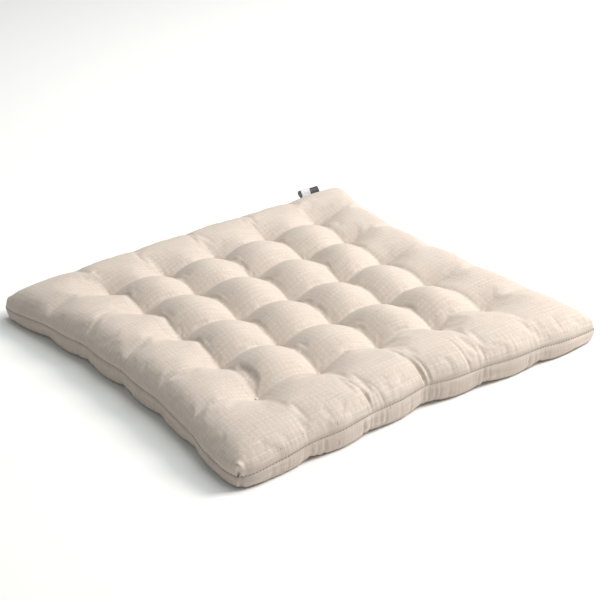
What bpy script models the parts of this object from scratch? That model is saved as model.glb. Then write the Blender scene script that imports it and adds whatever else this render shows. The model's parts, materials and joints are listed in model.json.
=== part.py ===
"""Tufted chair seat pad: two sewn fabric panels, a fibre filling, thread ties and two seam labels.

The pad lies on z = 0 with its middle over the origin. Its front edge runs along +X at -Y,
and the two labels stand out of the back seam, near the corner at +X, +Y.
"""
import math

import bmesh
import bpy
from mathutils import Matrix, Vector

MM = 0.001

# Driving sizes of the pad, in metres.
SIDE = 400 * MM             # corner tip to corner tip along one edge
TOP_HEIGHT = 46 * MM        # crown of a pillow above the seat
SEAM_HEIGHT = 22 * MM       # seam line above the seat, at the middle of an edge
CORNER_DROP = 10 * MM       # how much lower the seam lies at a corner
RAISED_CORNER = 8 * MM      # how much higher the corner at +X, +Y stands than the others

# How far each edge is drawn inwards at places along it, from -HALF to HALF, in millimetres.
# A place below 0 is pushed outwards.
DRAWN_IN = {
    "left": ((-200, 0), (-150, 0), (-125, 5), (-94, 8), (-63, 11), (0, 12.5), (63, 11.5),
             (94, 8), (125, 6), (165, 0), (200, 0)),
    "front": ((-200, 0), (-185, -4), (-150, -4), (-125, -2), (-94, -4), (-63, 0), (-31, 1), (0, 6),
              (31, 0), (63, -1), (95, -5), (125, -4), (150, -6), (170, -5), (195, -2), (200, 0)),
    "right": ((-200, 0), (-165, 3), (-125, 9), (-94, 10), (-63, 14), (0, 17), (63, 14), (94, 11),
              (125, 9), (165, 3), (200, 0)),
    "back": ((-200, 0), (-165, 0), (-125, 4), (-94, 2.5), (-63, 6), (-31, 4), (0, 6), (31, 4),
             (63, 6), (94, 3.5), (125, 4.5), (165, 2), (200, 0)),
}

# Tufts: a nearly square grid of thread ties.
TUFTS_PER_SIDE = 5
TUFT_PITCH = 62.6 * MM
TOP_DENT = 25 * MM          # height of the upper fabric at a tuft
BOTTOM_DENT = 15 * MM       # height of the lower fabric at a tuft
TOP_VALLEY = 34.5 * MM      # height of the upper fabric halfway between two tufts
BOTTOM_VALLEY = 3.5 * MM    # height of the lower fabric halfway between two tufts
BOTTOM_BULGE = 1.35         # pillow depth against seam height; over 1 is pressed flat on the seat

# The ties were set by hand. Each one's shift from the regular grid in X and Y, in millimetres:
# one line for each column from left to right, and in a line from the front tie to the back one.
TUFT_SHIFTS = (
    ((-3.9, 0.0), (-1.5, -0.6), (0.9, 3.0), (2.7, 7.2), (0.3, 1.8)),
    ((0.3, 0.6), (0.3, -2.4), (2.1, -2.4), (0.9, 5.4), (0.3, -3.0)),
    ((4.8, 1.8), (0.3, -1.8), (-0.3, -1.2), (0.3, 0.6), (-0.3, -1.2)),
    ((2.7, -3.0), (-2.1, -1.2), (-2.7, -1.8), (1.5, 2.4), (-0.3, 1.2)),
    ((2.1, -0.6), (-3.9, 0.6), (-5.4, 3.6), (-2.1, 3.6), (1.5, 1.8)),
)

# Fabric and sewing.
FABRIC = 0.8 * MM           # cloth thickness
GAP = 0.3 * MM              # clearance between touching pieces
ALLOWANCE = 8 * MM          # width of the turned-in seam allowance
THREAD_RADIUS = 0.3 * MM
SEAM_OPENING = 0.6 * MM     # half the space between the two allowances
SEAM_THREAD_INSET = 1.2 * MM
TUFT_HOLE = 1.4 * MM        # half the diagonal of the hole at a tuft
TIE_RADIUS = 0.5 * MM       # doubled thread drawn through the pad
TIE_SIDES = 8
KNOT_RADIUS = 1.4 * MM
KNOT_REACH = 3.6 * MM       # far end of a knot beyond the cloth's level at a tuft
FILLING_HOLE = 4.0 * MM     # half the diagonal of the channel that a tie passes through
FILLING_CLEARANCE = 2.2 * MM

# Seam labels, both on the back seam. Each is a tape folded in half and sewn in by its ends.
TAPE = 0.35 * MM
TAPE_STEPS = 16             # straight pieces along a folded tape
LABEL_TILT = math.radians(48)       # rise of the labels from flat: 90 would stand upright
LABEL_SEAM_GAP = 0.9 * MM           # hinge line of a label to the edge of the cloth
CARE_LABEL_X = (163.5 * MM, 175 * MM)
CARE_LABEL_REACH = 15 * MM
CARE_LABEL_BULGE = 3.4 * MM         # half the opening of the loop
SEAM_TAG_X = (175.8 * MM, 187.8 * MM)
SEAM_TAG_REACH = 14 * MM
SEAM_TAG_BULGE = 1.8 * MM

HALF = SIDE / 2
OUTER_DENT = TUFT_PITCH * (TUFTS_PER_SIDE - 1) / 2
OUTER_BAND = HALF - OUTER_DENT

# Distances of the mesh lines from an edge, and how many cells lie between two tufts.
BAND_LINES = (0.0, 3 * MM, 12 * MM, 32 * MM, 54 * MM)
CELLS_PER_PITCH = 4
FILLING_RIM_LINE = 2                # the filling stops at this line, clear of the allowance


def mesh_lines():
    """Positions across the pad of all its mesh lines, closer together near the edges."""
    left = [-HALF + distance for distance in BAND_LINES]
    inner_cells = CELLS_PER_PITCH * (TUFTS_PER_SIDE - 1)
    step = TUFT_PITCH / CELLS_PER_PITCH
    middle = [-OUTER_DENT + step * k for k in range(inner_cells + 1)]
    right = [-position for position in reversed(left)]
    return left + middle + right


LINES = mesh_lines()
CELLS = len(LINES) - 1
TUFT_LINES = [len(BAND_LINES) + CELLS_PER_PITCH * k for k in range(TUFTS_PER_SIDE)]


def edge_rise(position):
    """0 at the seam, 1 from the middle of the outer pillows inwards, along a quarter ellipse."""
    reach = OUTER_BAND / 2
    depth = min((HALF - abs(position)) / reach, 1.0)
    return math.sqrt(max(0.0, 1 - (1 - depth) ** 2))


def pillow_wave(position):
    """0 on a line of tufts and 1 halfway to the next one, with a cusp at the tufts."""
    outside = abs(position) - OUTER_DENT
    if outside > 0:
        return math.sin(math.pi / 2 * min(1.0, outside / (OUTER_BAND / 2)))
    return abs(math.sin(math.pi * position / TUFT_PITCH + math.pi * (TUFTS_PER_SIDE - 1) / 2))


def pillow_level(u, v, dent, valley, crown):
    """Blend of the three stated levels: dent at a tuft, valley between two, crown in a pillow."""
    wave_u = pillow_wave(u)
    wave_v = pillow_wave(v)
    slope = 2 * (valley - dent)
    return dent + slope * (wave_u + wave_v) / 2 + (crown - dent - slope) * wave_u * wave_v


def smooth_step(share):
    """0 below 0, 1 above 1, and a smooth rise between."""
    share = min(1.0, max(0.0, share))
    return share * share * (3 - 2 * share)


def seam_level(u, v):
    """Height of the seam: level along an edge, lower at three corners and less so at the fourth."""
    outer = (abs(u * v) / HALF ** 2) ** 2.5
    raised = outer * smooth_step(u / HALF) * smooth_step(v / HALF)
    return SEAM_HEIGHT - CORNER_DROP * outer + RAISED_CORNER * raised


def drawn_in(edge, along):
    """How far an edge is drawn inwards at a place along it, read from its table."""
    table = [(place * MM, amount * MM) for place, amount in DRAWN_IN[edge]]
    k = max(index for index, (place, amount) in enumerate(table[:-1]) if place <= max(along, -HALF))
    (start, before), (end, after) = table[k], table[k + 1]
    return before + (after - before) * (along - start) / (end - start)


def tuft_shift(u, v):
    """Shift of a point with the tufts round it: whole at a tuft and none at the seam."""
    lines = [-HALF] + [OUTER_DENT * (k - 2) / 2 for k in range(TUFTS_PER_SIDE)] + [HALF]

    def cell(position):
        k = max(index for index, line in enumerate(lines[:-1]) if line <= max(position, -HALF))
        return k, smooth_step((position - lines[k]) / (lines[k + 1] - lines[k]))

    (i, share_u), (j, share_v) = cell(u), cell(v)
    shift_x = shift_y = 0.0
    for column, weight_u in ((i, 1 - share_u), (i + 1, share_u)):
        for row, weight_v in ((j, 1 - share_v), (j + 1, share_v)):
            if 1 <= column <= TUFTS_PER_SIDE and 1 <= row <= TUFTS_PER_SIDE:
                x, y = TUFT_SHIFTS[column - 1][row - 1]
                shift_x += x * MM * weight_u * weight_v
                shift_y += y * MM * weight_u * weight_v
    return shift_x, shift_y


def plan_point(u, v):
    """Where a point of the square pattern lies once the edges are drawn in and the ties are set."""
    pull_x = drawn_in("right" if u > 0 else "left", v) * (abs(u) / HALF) ** 4
    pull_y = drawn_in("back" if v > 0 else "front", u) * (abs(v) / HALF) ** 4
    shift_x, shift_y = tuft_shift(u, v)
    side_u, side_v = math.copysign(1, u), math.copysign(1, v)
    return u - side_u * pull_x + shift_x, v - side_v * pull_y + shift_y


def top_point(u, v):
    """A point on the outside of the upper panel."""
    x, y = plan_point(u, v)
    rise = edge_rise(u) * edge_rise(v)
    puff = pillow_level(u, v, TOP_DENT, TOP_VALLEY, TOP_HEIGHT) - SEAM_HEIGHT
    return Vector((x, y, seam_level(u, v) + SEAM_OPENING + (puff - SEAM_OPENING) * rise))


def bottom_point(u, v):
    """A point on the outside of the lower panel, never below the seat."""
    x, y = plan_point(u, v)
    rise = edge_rise(u) * edge_rise(v)
    lower_seam = SEAM_HEIGHT - SEAM_OPENING
    dent = 1 - BOTTOM_DENT / lower_seam
    valley = 1 - BOTTOM_VALLEY / lower_seam
    sag = min(1.0, rise * pillow_level(u, v, dent, valley, BOTTOM_BULGE))
    return Vector((x, y, (seam_level(u, v) - SEAM_OPENING) * (1 - sag)))


def new_material(name, color, roughness):
    """A Principled material of one colour for one piece."""
    material = bpy.data.materials.new(name)
    material.use_nodes = True
    shader = material.node_tree.nodes["Principled BSDF"]
    shader.inputs["Base Color"].default_value = (*color, 1.0)
    shader.inputs["Roughness"].default_value = roughness
    shader.inputs["Metallic"].default_value = 0.0
    return material


def new_object(name, data, material):
    """Put a mesh or curve in the pad's collection under its own name and material."""
    data.name = name
    data.materials.append(material)
    piece = bpy.data.objects.new(name, data)
    pad_collection.objects.link(piece)
    return piece


def mesh_from(bm):
    """Turn a bmesh into a smooth-shaded mesh and free it."""
    mesh = bpy.data.meshes.new("mesh")
    bm.to_mesh(mesh)
    bm.free()
    mesh.shade_smooth()
    return mesh


def panel_grid(point, tuft_hole, first_line=0):
    """An open panel over the mesh lines with a small hole at every tuft.

    point gives the place of each pattern position, and first_line leaves out the outer lines.
    """
    bm = bmesh.new()
    cells = CELLS - 2 * first_line
    bmesh.ops.create_grid(bm, x_segments=cells, y_segments=cells, size=HALF)
    tuft_verts = []
    for vert in bm.verts:
        i = first_line + round((vert.co.x + HALF) / SIDE * cells)
        j = first_line + round((vert.co.y + HALF) / SIDE * cells)
        vert.co = point(LINES[i], LINES[j])
        if i in TUFT_LINES and j in TUFT_LINES:
            tuft_verts.append(vert)
    opened = bmesh.ops.bevel(bm, geom=tuft_verts, offset=tuft_hole, segments=1, affect="VERTICES")
    bmesh.ops.delete(bm, geom=opened["faces"], context="FACES_ONLY")
    return bm


def outer_rim(bm):
    """The open edges along the pad's outline, without those round the tuft holes."""
    inner = OUTER_DENT + TUFT_PITCH / 4
    return [edge for edge in bm.edges if edge.is_boundary
            and max(max(abs(vert.co.x), abs(vert.co.y)) for vert in edge.verts) > inner]


def make_cover(name, point, upwards, material):
    """One fabric panel: the pillowed grid, its turned-in allowance, and the cloth's thickness."""
    bm = panel_grid(point, TUFT_HOLE)
    extruded = bmesh.ops.extrude_edge_only(bm, edges=outer_rim(bm))["geom"]
    allowance = [item for item in extruded if isinstance(item, bmesh.types.BMVert)]
    inset = 1 - ALLOWANCE / HALF
    for vert in allowance:
        vert.co.x *= inset
        vert.co.y *= inset
    if not upwards:
        bmesh.ops.reverse_faces(bm, faces=bm.faces)
    cover = new_object(name, mesh_from(bm), material)
    cloth = cover.modifiers.new("Cloth thickness", "SOLIDIFY")
    cloth.thickness = FABRIC
    cloth.offset = -1
    return cover


def make_filling(material):
    """The fibre mass: both panels' shapes drawn in, joined round the rim and down each channel."""
    def shrunk_panel(point, inwards):
        panel = panel_grid(point, FILLING_HOLE, FILLING_RIM_LINE)
        panel.normal_update()
        offsets = [vert.normal * inwards * FILLING_CLEARANCE for vert in panel.verts]
        for vert, offset in zip(panel.verts, offsets):
            vert.co += offset
        return panel

    bm = shrunk_panel(top_point, -1)
    lower = shrunk_panel(bottom_point, 1)
    bmesh.ops.reverse_faces(lower, faces=lower.faces)
    lower_mesh = bpy.data.meshes.new("lower_half")
    lower.to_mesh(lower_mesh)
    lower.free()
    bm.from_mesh(lower_mesh)
    bpy.data.meshes.remove(lower_mesh)

    bmesh.ops.bridge_loops(bm, edges=outer_rim(bm))
    for x, y in tuft_places():
        channel = [edge for edge in bm.edges if edge.is_boundary
                   and all((vert.co.xy - Vector((x, y))).length < TUFT_PITCH / 4 for vert in edge.verts)]
        bmesh.ops.bridge_loops(bm, edges=channel)
    bmesh.ops.recalc_face_normals(bm, faces=bm.faces)
    return new_object("filling", mesh_from(bm), material)


def tuft_places():
    """Plan positions of the 25 tufts, row by row from the front left corner."""
    return [plan_point(LINES[i], LINES[j]) for j in TUFT_LINES for i in TUFT_LINES]


def make_tuft_tie(number, place, material):
    """A doubled thread through the pad, with a knot pulled down into the cloth at each end."""
    shoulder = 0.8 * KNOT_RADIUS
    neck = 1.75 * KNOT_RADIUS
    upper_end = [
        (0.0, 0.0), (shoulder, 0.25 * KNOT_RADIUS), (KNOT_RADIUS, KNOT_RADIUS), (TIE_RADIUS, neck),
    ]
    top = TOP_DENT + KNOT_REACH
    bottom = BOTTOM_DENT - KNOT_REACH
    profile = [(radius, top - depth) for radius, depth in upper_end]
    profile += [(radius, bottom + depth) for radius, depth in reversed(upper_end)]
    bm = bmesh.new()
    verts = [bm.verts.new((radius, 0.0, z)) for radius, z in profile]
    for upper, lower in zip(verts, verts[1:]):
        bm.edges.new((upper, lower))
    tie = new_object(f"tuft_tie_{number:02d}", mesh_from(bm), material)
    tie.location = (*place, 0.0)
    turned = tie.modifiers.new("Turned thread", "SCREW")
    turned.steps = TIE_SIDES
    turned.render_steps = TIE_SIDES
    turned.use_merge_vertices = True
    turned.merge_threshold = 0.00001
    return tie


def make_edge_thread(material):
    """The stitch line that holds the two allowances together just inside the folded edge."""
    rim = [(LINES[k], -HALF) for k in range(CELLS)]
    rim += [(HALF, LINES[k]) for k in range(CELLS)]
    rim += [(LINES[-1 - k], HALF) for k in range(CELLS)]
    rim += [(-HALF, LINES[-1 - k]) for k in range(CELLS)]
    inset = 1 - SEAM_THREAD_INSET / HALF
    curve = bpy.data.curves.new("edge_seam_thread", "CURVE")
    curve.dimensions = "3D"
    curve.bevel_depth = THREAD_RADIUS
    curve.bevel_resolution = 1
    spline = curve.splines.new("POLY")
    spline.points.add(len(rim) - 1)
    for point, (u, v) in zip(spline.points, rim):
        x, y = plan_point(u, v)
        point.co = (x * inset, y * inset, seam_level(u, v), 1.0)
    spline.use_cyclic_u = True
    return new_object("edge_seam_thread", curve, material)


def back_seam_frame(position):
    """Frame on the back seam at this place: X along the seam, Y outwards, Z up."""
    k = max(index for index, line in enumerate(LINES) if line <= position)
    start, end = (Vector((*plan_point(LINES[n], HALF), seam_level(LINES[n], HALF))) for n in (k, k + 1))
    share = (position - LINES[k]) / (LINES[k + 1] - LINES[k])
    along = (end - start).normalized()
    outwards = Vector((0.0, 0.0, 1.0)).cross(along).normalized()
    frame = Matrix((along, outwards, along.cross(outwards))).transposed().to_4x4()
    frame.translation = start.lerp(end, share) + outwards * LABEL_SEAM_GAP
    return frame


def folded_tape(reach, bulge):
    """Centre line of a tape folded into a teardrop loop, from one end round the fold to the other.

    Each point is (across, along): the two ends lie side by side at the root, a gap apart.
    """
    root = (TAPE + GAP) / 2
    turns = [math.pi * k / TAPE_STEPS for k in range(TAPE_STEPS + 1)]
    widest = 2 / 3 / math.sqrt(3)       # the largest value of cos(turn) * sin(turn) ** 2
    return [(-math.cos(turn) * (root + bulge / widest * math.sin(turn) ** 2), reach * math.sin(turn))
            for turn in turns]


def make_label(name, span, reach, bulge, material):
    """A folded tape sewn into the back seam, under an empty whose X axis is its hinge line."""
    pivot = bpy.data.objects.new(f"{name}_pivot", None)
    pad_collection.objects.link(pivot)
    pivot.matrix_world = back_seam_frame((span[0] + span[1]) / 2)

    width = span[1] - span[0]
    bm = bmesh.new()
    verts = [bm.verts.new((-width / 2, across, along)) for across, along in folded_tape(reach, bulge)]
    edges = [bm.edges.new(pair) for pair in zip(verts, verts[1:])]
    swept = bmesh.ops.extrude_edge_only(bm, edges=edges)["geom"]
    far_side = [item for item in swept if isinstance(item, bmesh.types.BMVert)]
    bmesh.ops.translate(bm, verts=far_side, vec=(width, 0.0, 0.0))
    lean = Matrix.Rotation(LABEL_TILT - math.pi / 2, 4, "X")
    bmesh.ops.transform(bm, matrix=lean, verts=bm.verts)
    label = new_object(name, mesh_from(bm), material)
    label.parent = pivot
    tape = label.modifiers.new("Tape thickness", "SOLIDIFY")
    tape.thickness = TAPE
    tape.offset = 0


def clear_scene():
    """Remove whatever the opened scene holds."""
    for existing in list(bpy.data.objects):
        bpy.data.objects.remove(existing, do_unlink=True)


clear_scene()
pad_collection = bpy.data.collections.new("chair_seat_pad")
bpy.context.scene.collection.children.link(pad_collection)

cloth_material = new_material("ecru_cotton", (0.66, 0.57, 0.47), 0.9)
fibre_material = new_material("white_polyester_fibre", (0.85, 0.85, 0.84), 0.95)
thread_material = new_material("ecru_thread", (0.60, 0.53, 0.44), 0.7)
label_material = new_material("white_label_tape", (0.85, 0.86, 0.85), 0.6)
tag_material = new_material("black_satin_tape", (0.01, 0.01, 0.012), 0.4)

make_cover("top_cover", top_point, True, cloth_material)
make_cover("bottom_cover", bottom_point, False, cloth_material)
make_filling(fibre_material)
make_edge_thread(thread_material)
for tuft_number, tuft_place in enumerate(tuft_places(), start=1):
    make_tuft_tie(tuft_number, tuft_place, thread_material)
make_label("care_label", CARE_LABEL_X, CARE_LABEL_REACH, CARE_LABEL_BULGE, label_material)
make_label("seam_tag", SEAM_TAG_X, SEAM_TAG_REACH, SEAM_TAG_BULGE, tag_material)
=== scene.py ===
# %% [markdown]
# # A tufted chair seat pad
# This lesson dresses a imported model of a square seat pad. The real one is two square pieces of slub
# cotton, sewn together all round, turned right side out, filled with fibre, and then tied through
# in 25 places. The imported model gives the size, the bodies and the hinges. Everything here is placed
# from those, and only the looks are new.
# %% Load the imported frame
import json
import math

import bpy
import numpy as np
from mathutils import Matrix, Vector

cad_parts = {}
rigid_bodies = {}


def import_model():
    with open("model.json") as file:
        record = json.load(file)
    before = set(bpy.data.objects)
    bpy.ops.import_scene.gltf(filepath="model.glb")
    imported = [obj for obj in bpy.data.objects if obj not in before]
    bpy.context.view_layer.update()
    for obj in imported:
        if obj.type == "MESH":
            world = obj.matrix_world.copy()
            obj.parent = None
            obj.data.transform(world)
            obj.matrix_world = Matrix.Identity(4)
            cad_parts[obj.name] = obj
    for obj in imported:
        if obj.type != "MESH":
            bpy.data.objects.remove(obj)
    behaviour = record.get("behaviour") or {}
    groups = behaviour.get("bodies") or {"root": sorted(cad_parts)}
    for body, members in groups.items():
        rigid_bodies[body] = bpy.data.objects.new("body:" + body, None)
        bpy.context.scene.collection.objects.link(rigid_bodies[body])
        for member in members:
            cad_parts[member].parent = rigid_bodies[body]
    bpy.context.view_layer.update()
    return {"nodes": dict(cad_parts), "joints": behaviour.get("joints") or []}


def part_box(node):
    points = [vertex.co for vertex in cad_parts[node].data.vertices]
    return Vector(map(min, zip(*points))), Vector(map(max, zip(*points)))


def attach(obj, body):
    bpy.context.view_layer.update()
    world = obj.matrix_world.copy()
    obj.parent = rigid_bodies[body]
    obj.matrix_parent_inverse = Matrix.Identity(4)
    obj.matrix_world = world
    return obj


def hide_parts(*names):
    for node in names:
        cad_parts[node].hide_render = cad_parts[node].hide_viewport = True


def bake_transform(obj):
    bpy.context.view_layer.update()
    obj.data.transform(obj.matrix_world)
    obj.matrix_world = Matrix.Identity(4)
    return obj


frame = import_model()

MM = 0.001
SEED = 7

# %% [markdown]
# ## Small helpers
# Colours are written as sRGB hex values, as a paint shop would give them, and one function turns
# them into the linear numbers that a shader wants. A second function adds a shader node with its
# settings and its inputs, where an input is either a number or another node's output. Three short
# ones use it for the nodes that come up again and again. The last makes sure that nothing is
# selected before an operator runs, because operators act on everything that is selected.
# %% Helpers for colours, nodes and selection
def linear(hex_colour):
    """An sRGB hex colour as linear red, green, blue and alpha."""
    parts = [int(hex_colour[i : i + 2], 16) / 255 for i in (1, 3, 5)]
    return tuple(p / 12.92 if p <= 0.04045 else ((p + 0.055) / 1.055) ** 2.4 for p in parts) + (1.0,)


def add_node(material, kind, settings=None, inputs=None):
    """Add a shader node. An input that is another node's output is linked, and any other is set."""
    node = material.node_tree.nodes.new(kind)
    for name, value in (settings or {}).items():
        setattr(node, name, value)
    for name, value in (inputs or {}).items():
        if isinstance(value, bpy.types.NodeSocket):
            material.node_tree.links.new(value, node.inputs[name])
        else:
            node.inputs[name].default_value = value
    return node


def mix(material, share, one, other):
    """Blend two colours. A share of 0 gives the first one, and 1 gives the other."""
    return add_node(material, "ShaderNodeMix", {"data_type": "RGBA"}, {0: share, 6: one, 7: other}).outputs[2]


def stretch(material, value, low, high, new_low, new_high):
    """Map values from between low and high to between new_low and new_high, and no further."""
    inputs = {0: value, 1: low, 2: high, 3: new_low, 4: new_high}
    return add_node(material, "ShaderNodeMapRange", {}, inputs).outputs[0]


def maths(material, operation, *values):
    """What a Math node makes of its values."""
    return add_node(material, "ShaderNodeMath", {"operation": operation}, dict(enumerate(values))).outputs[0]


def select_only(*objects):
    """Select these objects and nothing else, and make the first one active."""
    for other in bpy.context.view_layer.objects:
        other.select_set(False)
    for thing in objects:
        thing.select_set(True)
    bpy.context.view_layer.objects.active = objects[0] if objects else None


print("white in linear light:", linear("#FFFFFF"))

# %% [markdown]
# ## Camera, floor and light
# The pad is seen from in front of its near corner and from above, on a plain pale floor, in soft
# light that comes mostly from the right. Two area lamps give soft shadows, one at the right and a
# larger one overhead, and a dim white world fills them. The standard view transform keeps the pale
# floor pale.
# %% Camera
CAMERA_PLACE = Vector((-0.7512, -1.0670, 0.6726))
CAMERA_YAW, CAMERA_PITCH, CAMERA_ROLL = 54.484, -26.236, -2.206  # degrees
CAMERA_LENS = 92.9  # mm, on a 36 mm sensor

yaw, pitch, roll = (math.radians(a) for a in (CAMERA_YAW, CAMERA_PITCH, CAMERA_ROLL))
ahead = Vector((math.cos(pitch) * math.cos(yaw), math.cos(pitch) * math.sin(yaw), math.sin(pitch)))
level_right = ahead.cross(Vector((0, 0, 1))).normalized()
level_up = level_right.cross(ahead)
right = math.cos(roll) * level_right + math.sin(roll) * level_up
up = math.cos(roll) * level_up - math.sin(roll) * level_right

bpy.ops.object.camera_add()
camera = bpy.context.object
camera.name = "camera"
turned = Matrix((right, up, -ahead)).transposed().to_4x4()
turned.translation = CAMERA_PLACE
camera.matrix_world = turned
camera.data.lens = CAMERA_LENS
camera.data.sensor_width = 36
bpy.context.scene.camera = camera
bpy.context.scene.view_settings.view_transform = "Standard"
print("camera", [round(v, 3) for v in camera.location], "lens", camera.data.lens, "mm")

# %% Floor, lamps and world
floor_finish = bpy.data.materials.new("matt_pale_floor")
floor_finish.use_nodes = True
floor_shader = floor_finish.node_tree.nodes["Principled BSDF"]
floor_shader.inputs["Base Color"].default_value = linear("#F6F6F5")
floor_shader.inputs["Roughness"].default_value = 0.9

select_only()
bpy.ops.mesh.primitive_plane_add(size=12.0)
floor = bpy.context.object
floor.name = "floor"
floor.data.materials.append(floor_finish)

LAMPS = (  # place in metres, side in metres, power in watts, colour
    ((1.5, -0.72, 1.35), 0.8, 46.0, "#FFFBF9"),
    ((0.7, 0.1, 2.1), 1.6, 28.0, "#FCFFFD"),
)
for lamp_number, (place, side, power, colour) in enumerate(LAMPS, start=1):
    bpy.ops.object.light_add(type="AREA", location=place)
    lamp = bpy.context.object
    lamp.name = f"lamp_{lamp_number}"
    lamp.data.size = side
    lamp.data.energy = power
    lamp.data.color = linear(colour)[:3]
    lamp.rotation_euler = (-Vector(place)).to_track_quat("-Z", "Y").to_euler()

world = bpy.data.worlds.new("soft_white_surround")
world.use_nodes = True
world.node_tree.nodes["Background"].inputs["Color"].default_value = linear("#FCFFFD")
world.node_tree.nodes["Background"].inputs["Strength"].default_value = 0.27
bpy.context.scene.world = world
print("lamps:", len(LAMPS))

# %% [markdown]
# ## The cotton
# The cloth is a plain-woven, unbleached slub cotton. Its yarns are uneven, so thick stretches, the
# slubs, run along both directions of the weave, half a millimetre or so wide and some centimetres
# long. Small dark flecks of seed husk are left in it. All of the pattern reads the cloth's own flat
# coordinates, kept in a UV map in metres, so that it bends and gathers with the cloth. A yarn is
# about 0.4 mm, too fine for a picture of the whole pad. What does show is that the yarns crowd and
# thin out, so the weave is drawn as soft bands that repeat every 5 mm in both directions.
# %% Slub cotton
def cotton_finish(name, pale, warm, dark):
    """Slub cotton in three hex colours: its palest yarns, its main colour and its darkest yarns."""
    cotton = bpy.data.materials.new(name)
    cotton.use_nodes = True
    shader = cotton.node_tree.nodes["Principled BSDF"]
    flat = add_node(cotton, "ShaderNodeUVMap", {"uv_map": "cut"})

    def slubs(lengthways, across, length, seed):
        """Long thin noise: one patch is about `across` by `length` millimetres of cloth."""
        scale = (1000 / length, 1000 / across, 1) if lengthways else (1000 / across, 1000 / length, 1)
        placement = {"Vector": flat.outputs[0], "Scale": scale, "Location": (seed,) * 3}
        placed = add_node(cotton, "ShaderNodeMapping", {}, placement).outputs[0]
        noise = {"Vector": placed, "Scale": 1.0, "Detail": 2.0, "Roughness": 0.55}
        return add_node(cotton, "ShaderNodeTexNoise", {"noise_dimensions": "2D"}, noise).outputs[0]

    # Yarns: the noise of both directions added, from the darkest to the palest, in broad clouds.
    warp, weft = slubs(True, 0.6, 30.0, 3.7), slubs(False, 0.5, 14.0, 11.3)
    clouds = slubs(True, 26.0, 40.0, 5.1)
    both = maths(cotton, "ADD", warp, weft)
    yarns = mix(cotton, stretch(cotton, both, 0.6, 1.4, 0.0, 1.0), linear(dark), linear(pale))
    ground = mix(cotton, stretch(cotton, clouds, 0.3, 0.7, 0.25, 0.75), yarns, linear(warm))

    # Thick slubs: the highest parts of a long thin noise, along the warp only, as paler lines.
    thick_yarns = slubs(True, 0.8, 55.0, 17.9)
    ground = mix(cotton, stretch(cotton, thick_yarns, 0.6, 0.7, 0.0, 0.7), ground, linear(pale))

    # Seed husk: one possible fleck in each 9 mm cell, and a cell's own random colour picks the few.
    nine_mm = {"Vector": flat.outputs[0], "Scale": (1000 / 9, 1000 / 9, 1)}
    cells = add_node(cotton, "ShaderNodeMapping", {}, nine_mm).outputs[0]
    flat_cells = {"voronoi_dimensions": "2D"}
    husk = add_node(cotton, "ShaderNodeTexVoronoi", flat_cells, {"Vector": cells, "Scale": 1.0})
    pick = add_node(cotton, "ShaderNodeSeparateColor", {}, {0: husk.outputs["Color"]}).outputs[0]
    size = stretch(cotton, pick, 0.45, 1.0, 0.0, 0.06)
    inside = maths(cotton, "LESS_THAN", husk.outputs["Distance"], size)
    flecked = mix(cotton, maths(cotton, "MULTIPLY", inside, 0.55), ground, linear("#6E5A45"))

    # Weave: bands along X times bands along Y. A wave texture repeats every 2 pi / 20 / scale, so
    # this scale gives 5 mm. The hollows between the bands lie lower, and painted shade darkens them.
    threads = []
    for direction in ("X", "Y"):
        bands = {"wave_type": "BANDS", "bands_direction": direction, "wave_profile": "SIN"}
        repeat = {"Vector": flat.outputs[0], "Scale": 62.5, "Distortion": 1.2, "Detail": 1.0}
        threads.append(add_node(cotton, "ShaderNodeTexWave", bands, repeat).outputs[1])
    weave = maths(cotton, "MULTIPLY", *threads)
    # Painted shade: the weave's hollows are mixed towards the darkest yarn colour.
    woven = mix(cotton, stretch(cotton, weave, 0.0, 0.6, 0.22, 0.0), flecked, linear(dark))
    height = maths(cotton, "MULTIPLY_ADD", weave, 0.35, both)
    bump = {"Height": height, "Strength": 0.6, "Distance": 0.35 * MM}
    relief = add_node(cotton, "ShaderNodeBump", {}, bump).outputs[0]

    links = cotton.node_tree.links
    links.new(woven, shader.inputs["Base Color"])
    links.new(relief, shader.inputs["Normal"])
    shader.inputs["Roughness"].default_value = 0.92
    shader.inputs["Specular IOR Level"].default_value = 0.25
    shader.inputs["Sheen Weight"].default_value = 0.12
    shader.inputs["Sheen Roughness"].default_value = 0.5
    return cotton


cotton_top = cotton_finish("ecru_slub_cotton", "#DED2C7", "#D3C6BB", "#BAACA0")
# The lower cover is the same cotton, a little darker: painted shade for its wall, which turns under towards
# the floor.
cotton_bottom_painted_shade = cotton_finish("ecru_slub_cotton_underside_painted_shade", "#DACEC3", "#CFC2B7", "#B6A89C")
print("cotton nodes:", len(cotton_top.node_tree.nodes))

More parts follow.
